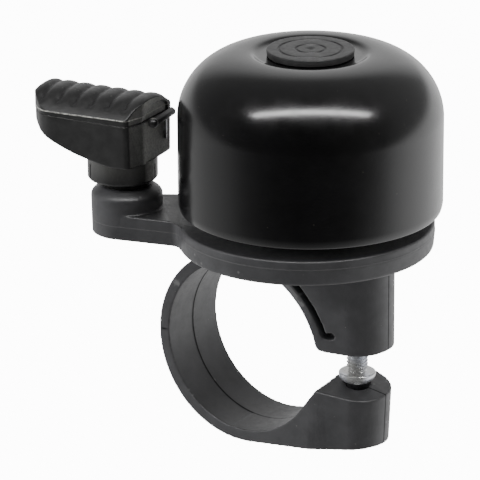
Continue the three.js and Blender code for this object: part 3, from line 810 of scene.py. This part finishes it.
def cap(material):
    top = CAP_TOP

    def ring_groove(radius):
        shoulder, floor = radius + 0.2, top - 0.14
        bottom = [(radius + 0.09, floor, 0.05), (radius - 0.09, floor, 0.05)]
        return [(shoulder, top, 0.06), *bottom, (radius - 0.2, top, 0.06)]

    skirt = RECESS_FLOOR + 0.1
    profile = [
        (0, top - 0.6),
        (WELL_R - 0.9, top - 0.6),
        (WELL_R - 0.9, skirt - 0.8),
        (WELL_R - 0.3, skirt - 0.8),
        (WELL_R - 0.3, skirt),
        (CAP_R - 0.05, skirt, 0.06),
        (CAP_R, top, 0.16),
        *ring_groove(0.72 * CAP_R),
        *ring_groove(0.33 * CAP_R),
        (0.75, top, 0.2),
        (0.25, top - 0.16, 0.1),
        (0, top - 0.2),
    ]
    made = lathe("bell_cap", eased(profile, closed=False), (BELL_X, 0), 192)
    return finished(made, material, ["dome_cap"], "bell_base", angle=50)


# ---- lever, drawn in its own frame: u inwards to the dome, v to the back, post at the origin ----


def to_lever(obj):
    """Moves a piece from the lever's own frame into the bell's."""
    obj.data.transform(Matrix.Translation((*POST, 0)) @ Matrix.Rotation(LEVER_TURN, 4, "Z"))
    return obj


def lever_plan(inset=0.0, ease=0.6):
    side = LEVER_HALF - inset
    inner = LEVER_INNER - inset
    outer = LEVER_OUTER + inset
    return eased(
        [
            (-9.9 + inset, -side, 2.2 * ease),
            (2.6 - inset, -side, 0.9 * ease),
            (3.8 - inset, -2.3, 0.6 * ease),
            (inner, side - 0.5, 0.35 * ease),
            (inner - 0.5, side, 0.35 * ease),
            (outer + 2.2, side, 1.2 * ease),
            (outer + 0.8, side - 1.6, 1.2 * ease),
            (outer, 1, 1.8 * ease),
            (outer + 0.5, -2.5 + inset, 2.4 * ease),
        ],
        steps=10,
    )


def lever_shell(material):
    """The housing under the grip: flat over the hub, sweeping up to a thin outer tip."""
    top = GRIP_BOTTOM - 0.04
    inner_end = [(LEVER_INNER + 0.5, 26.5), (LEVER_INNER - 0.3, LEVER_BOTTOM, 0.5), (0, LEVER_BOTTOM)]
    side = [
        (LEVER_INNER + 0.5, top),
        *eased(inner_end, closed=False),
        *bend((0, LEVER_BOTTOM), (-7.6, LEVER_BOTTOM + 1.2), (LEVER_OUTER, top - 0.45), 40)[1:],
        (LEVER_OUTER, top),
    ]
    shell = prism("lever_shell", side, -LEVER_HALF - 0.5, LEVER_HALF + 0.5, "y")
    combine(shell, prism("plan", lever_plan(0.04), LEVER_BOTTOM - 1, top + 1), "INTERSECT")
    hollow = prism("hollow", lever_plan(1.2), LEVER_BOTTOM + 1.7, top - 0.6)
    combine(hollow, prism("limit", [(-6.5, -9), (9, -9), (9, 9), (-6.5, 9)], 0, 50), "INTERSECT")
    combine(shell, hollow)
    combine(shell, drum(PIVOT_HOLE_R, LEVER_BOTTOM - 1, 28))
    reshape(shell, housing_draft)
    melt(shell, 0.12, 3)
    reshape(shell, lip_rise)
    slit = [(-0.08, 28.2), (0.1, 28.0), (0.2, 29.4), (0.16, 32), (-0.16, 32), (-0.12, 29.2)]
    slit = [(HAMMER_PIVOT_V + 0.2 + v, z) for v, z in slit]
    combine(shell, prism("slit", slit, 2.9, 9, "x"))
    return finished(to_lever(shell), material, ["lever_housing"], "lever")


def housing_draft(u, v, z):
    """Leans the sides inwards to the bottom, more at the front."""
    depth = np.clip((GRIP_BOTTOM - z) / 6, 0, 1)
    return u, v * (1 - np.where(v < 0, 0.05, 0.03) * depth), z


def lip_rise(u, v, z):
    """Lifts the line between the housing and the grip a little towards the outer tip."""
    near = np.clip(1 - np.abs(z - GRIP_BOTTOM) / 0.8, 0, 1)
    return u, v, z + 0.34 * near * np.clip((2.6 - u) / 12.5, 0, 1)


def grip_heights(u, v):
    """Height of the grip's ribbed crown."""
    pitch = (LEVER_INNER - LEVER_OUTER - 0.2) / 7
    across = 1 - np.clip(np.abs(v) / LEVER_HALF, 0, 1) ** 2.6
    fall = np.sqrt(np.clip(1 - (np.clip(-11 - u, 0, 1.97) / 2) ** 2, 0, 1))
    place = ((u - LEVER_OUTER) / pitch) % 1
    scallop = np.abs(2 * place - 1) ** 2.5
    reach = np.clip((v + LEVER_HALF - 0.8) / 0.9, 0, 1)
    height = 2.25 - 0.02 * np.clip(u, -12, 0)
    return GRIP_EDGE + height * across * (0.25 + 0.75 * fall) - 0.45 * scallop * reach


def lever_grip(material):
    us = np.linspace(LEVER_OUTER - 0.3, LEVER_INNER + 0.3, 190)
    vs = np.linspace(-LEVER_HALF - 0.3, LEVER_HALF + 0.3, 120)
    grid_u, grid_v = np.meshgrid(us, vs, indexing="ij")
    grip = relief("ribbed_grip", us, vs, grip_heights(grid_u, grid_v), GRIP_BOTTOM)
    combine(grip, prism("plan", lever_plan(), GRIP_BOTTOM - 1, 40), "INTERSECT")
    arch = [(-2.7, 30.0), (3.9, 30.0), (3.9, 32.2, 0.5)]
    arch += [(3.0, 32.95, 0.7), (0.4, 33.2, 1.2), (-2.4, 32.0, 0.6)]
    recess = prism("arch", eased(arch), 3.73, 6, "x")
    combine(grip, reshape(recess, lambda u, v, z: (u + 0.077 * v, v, z)))
    melt(grip, 0.1, 3)
    reshape(grip, lip_rise)
    return finished(to_lever(grip), material, ["lever_grip"], "lever")


def lever_hub(material):
    """The hub's skirt: a chamfered drum with two pairs of shallow upright slots."""
    profile = eased(
        [
            (1.5, 22.45),
            (3.5, 22.45, 0.1),
            (4.45, 22.5, 0.1),
            (4.7, 22.8, 0.12),
            (4.7, LEVER_BOTTOM + 0.3),
            (1.5, LEVER_BOTTOM + 0.3),
            (1.5, 22.45),
        ],
        closed=False,
    )
    hub = lathe("hub_skirt", profile, (-0.55, 0), 160)
    for turn in (-129.6, 1.5, 50.5, 181.5):
        place = arc(-0.55, 0, 4.8, turn, turn, 1)[0]
        combine(hub, drum(0.2, 22, 24.9, place, 16))
    return finished(to_lever(hub), material, ["lever_hub"], "lever", angle=40)


def hammer(material):
    """A six-sided rod across the lever's end, with a small ball at its striking end."""
    corners = [(a, b, 0.1) for a, b in arc(HAMMER_U, HAMMER_Z, HAMMER_BAR_R, 30, 330, 5)]
    rod = prism("hammer_rod", eased(corners, steps=4), BALL_V + BALL_R, HAMMER_PIVOT_V + 0.45, "y")
    bevel = rod.modifiers.new("bevel", "BEVEL")
    bevel.width = 0.06
    bevel.segments = 3
    bake(rod)
    finished(to_lever(rod), material, ["hammer_bar"], "hammer", angle=30)
    ball = lathe("hammer_tip", arc(0, 0, BALL_R, -90, 90, 32), sides=48)
    ball.data.transform(Matrix.Translation((HAMMER_U, BALL_V, HAMMER_Z + 0.05)))
    return finished(to_lever(ball), material, ["hammer_ball"], "hammer")


def return_spring(material):
    """A round-wire coil round the pivot pin."""
    radius, pitch, turns, steps = 2.2, 0.68, 3.5, 48
    curve = bpy.data.curves.new("coil", "CURVE")
    curve.dimensions = "3D"
    curve.bevel_depth = 0.27
    curve.bevel_resolution = 6
    curve.use_fill_caps = True
    spline = curve.splines.new("POLY")
    count = int(turns * steps)
    spline.points.add(count)
    for i, point in enumerate(spline.points):
        angle = math.tau * i / steps
        x, y = POST[0] + radius * math.cos(angle), POST[1] + radius * math.sin(angle)
        point.co = (x, y, DISC_TOP + 0.55 + pitch * i / steps, 1)
    coil = bpy.data.objects.new("coil", curve)
    bpy.context.scene.collection.objects.link(coil)
    evaluated = coil.evaluated_get(bpy.context.evaluated_depsgraph_get())
    mesh = bpy.data.meshes.new_from_object(evaluated)
    discard(coil)
    spring = bpy.data.objects.new("coil_spring", mesh)
    bpy.context.scene.collection.objects.link(spring)
    return finished(spring, material, ["return_spring"], "bell_base")


def dress_cad_nodes(finishes):
    """Gives the inner CAD pieces softened edges and a proper finish."""
    for name, material in finishes.items():
        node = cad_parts[name]
        node.data.materials.clear()
        node.data.materials.append(material)
        soft = node.modifiers.new("soft_edges", "BEVEL")
        soft.width = 0.06 * MM
        soft.segments = 2
        soft.limit_method = "ANGLE"
        soft.angle_limit = math.radians(40)
        soft.harden_normals = True


# ---- studio ------------------------------------------------------------------------------------


def in_view(sideways, forward, up):
    """A direction given to the camera's right, towards the camera and upwards."""
    side = Vector((math.cos(CAMERA_AZIMUTH), math.sin(CAMERA_AZIMUTH), 0))
    ahead = Vector((math.sin(CAMERA_AZIMUTH), -math.cos(CAMERA_AZIMUTH), 0))
    return side * sideways + ahead * forward + Vector((0, 0, up))


def softbox(name, direction, distance, size, radiance, shown_in=("diffuse", "glossy")):
    """A rectangular lamp that faces the bell."""
    data = bpy.data.lights.new(name, "AREA")
    data.shape = "RECTANGLE"
    data.size, data.size_y = size
    data.energy = radiance * math.pi * size[0] * size[1]
    lamp = bpy.data.objects.new(name, data)
    bpy.context.scene.collection.objects.link(lamp)
    away = direction.normalized()
    centre = Vector((BELL_X, 0, 25)) * MM
    lamp.matrix_world = Matrix.LocRotScale(centre + away * distance, away.to_track_quat("Z", "Y"), None)
    lamp.visible_camera = False
    lamp.visible_diffuse = "diffuse" in shown_in
    lamp.visible_glossy = "glossy" in shown_in


BACKDROP = 12.0  # the brightness that the view transform shows as near white


def make_world():
    """Pale surroundings behind and beside the bell, dimmer overhead and towards the camera."""
    world = bpy.data.worlds.new("surroundings")
    bpy.context.scene.world = world
    world.use_nodes = True
    tree = world.node_tree
    tree.nodes.clear()
    add = tree.nodes.new
    coordinates = add("ShaderNodeTexCoord")
    link = tree.links.new

    def towards(direction, span, levels):
        """Maps how far a ray points in a direction, between two cosines, to a level."""
        product = add("ShaderNodeVectorMath")
        product.operation = "DOT_PRODUCT"
        product.inputs[1].default_value = direction.normalized()
        level = add("ShaderNodeMapRange")
        for socket, value in zip(("From Min", "From Max", "To Min", "To Max"), (*span, *levels)):
            level.inputs[socket].default_value = value
        link(coordinates.outputs["Generated"], product.inputs[0])
        link(product.outputs["Value"], level.inputs["Value"])
        return level.outputs[0]

    ramp = add("ShaderNodeValToRGB")
    stops = ((-1.0, 1.3), (-0.25, 1.25), (0.0, 1.15), (0.2, 0.9), (0.4, 0.5), (0.7, 0.2), (1.0, 0.1))
    elements = ramp.color_ramp.elements
    while len(elements) < len(stops):
        elements.new(0.5)
    for element, (at, level) in zip(elements, stops):
        element.position = (at + 1) / 2
        element.color = (level, level, level, 1)
    upper = add("ShaderNodeMath")
    upper.operation = "MAXIMUM"
    strength = add("ShaderNodeMath")
    strength.operation = "MULTIPLY"
    surround = add("ShaderNodeBackground")
    seen = add("ShaderNodeBackground")
    seen.inputs["Strength"].default_value = BACKDROP
    path = add("ShaderNodeLightPath")
    choose = add("ShaderNodeMixShader")
    output = add("ShaderNodeOutputWorld")
    link(towards(in_view(0, 1, 0.15), (-1, 1), (0, 1)), ramp.inputs[0])
    link(towards(in_view(1, 0, 0), (-1, 1), (0.5, 1.25)), strength.inputs[0])
    link(towards(in_view(0, 0.35, 1), (-0.2, -0.03), (1, 0.28)), upper.inputs[0])
    link(towards(in_view(0, -0.94, 0.34), (0.75, 0.95), (0, 0.85)), upper.inputs[1])
    link(upper.outputs[0], strength.inputs[1])
    link(ramp.outputs[0], surround.inputs[0])
    link(strength.outputs[0], surround.inputs[1])
    link(path.outputs["Is Camera Ray"], choose.inputs[0])
    link(surround.outputs[0], choose.inputs[1])
    link(seen.outputs[0], choose.inputs[2])
    link(choose.outputs[0], output.inputs[0])


def make_floor():
    """A plain pale floor, seen from above only, so that it never hides the bell."""
    size = 6.0
    mesh = bpy.data.meshes.new("floor")
    level = -0.06
    corners = [(x * size, y * size, level) for x, y in ((-1, -1), (1, -1), (1, 1), (-1, 1))]
    mesh.from_pydata(corners, [], [(0, 1, 2, 3)])
    floor = bpy.data.objects.new("floor", mesh)
    bpy.context.scene.collection.objects.link(floor)
    material = bpy.data.materials.new("pale_floor")
    material.use_nodes = True
    tree = material.node_tree
    shader = tree.nodes["Principled BSDF"]
    shader.inputs["Base Color"].default_value = (0.9, 0.9, 0.9, 1)
    shader.inputs["Roughness"].default_value = 0.9
    shader.inputs["Emission Color"].default_value = (1, 1, 1, 1)
    shader.inputs["Emission Strength"].default_value = BACKDROP
    geometry = tree.nodes.new("ShaderNodeNewGeometry")
    clear = tree.nodes.new("ShaderNodeBsdfTransparent")
    choose = tree.nodes.new("ShaderNodeMixShader")
    tree.links.new(geometry.outputs["Backfacing"], choose.inputs[0])
    tree.links.new(shader.outputs[0], choose.inputs[1])
    tree.links.new(clear.outputs[0], choose.inputs[2])
    tree.links.new(choose.outputs[0], tree.nodes["Material Output"].inputs[0])
    mesh.materials.append(material)
    floor.visible_diffuse = False
    floor.visible_glossy = False
    floor.visible_shadow = False


def make_lights():
    softbox("strip", in_view(0, 0.46, 0.8), 1.0, (1.9, 0.12), 27.0, ("glossy",))
    softbox("left", in_view(-1, 0.12, 0.2), 1.0, (0.8, 0.6), 14.0, ("diffuse",))
    softbox("right", in_view(1, 0.25, 0.25), 1.0, (1.6, 1.2), 2.2, ("diffuse",))
    softbox("front", in_view(0.5, 1, 0.2), 1.0, (0.8, 0.6), 2.4, ("diffuse",))


# ---- assembly ----------------------------------------------------------------------------------


def build_bell():
    moulding = moulded_plastic("moulded_plastic", 0.03, 0.042, 0.012, True)
    lever = lever_plastic("lever_plastic", True)
    striker = lever_plastic("striker_plastic", False)
    zinc = plated_metal("zinc", (0.82, 0.85, 0.92, 1), (0.55, 0.55, 0.54, 1), 0.2, 0.34, 0.82)
    steel = plated_metal("spring_steel", (0.5, 0.51, 0.53, 1), (0.36, 0.36, 0.37, 1), 0.25, 0.4)
    washer_shade = painted_shade_washer()
    brass = plated_metal("brass", (0.72, 0.52, 0.2, 1), (0.5, 0.36, 0.15, 1), 0.28, 0.45)
    base_moulding(moulding)
    strap_moulding(moulding)
    clamp_screw(zinc)
    dome(dome_paint())
    cap(cap_plastic())
    lever_shell(lever)
    lever_grip(lever)
    lever_hub(lever)
    hammer(striker)
    return_spring(steel)
    dress_cad_nodes(
        {
            "clamp_nut": zinc,
            "dome_screw": zinc,
            "dome_washer": zinc,
            "pillar_insert": brass,
            "pivot_pin": zinc,
            # the pin washer's near-black finish is painted shade under the hub
            "pin_washer": washer_shade,
            "pin_retainer": steel,
            "hammer_leaf": steel,
        }
    )


make_camera()
build_bell()
make_world()
make_lights()
make_floor()
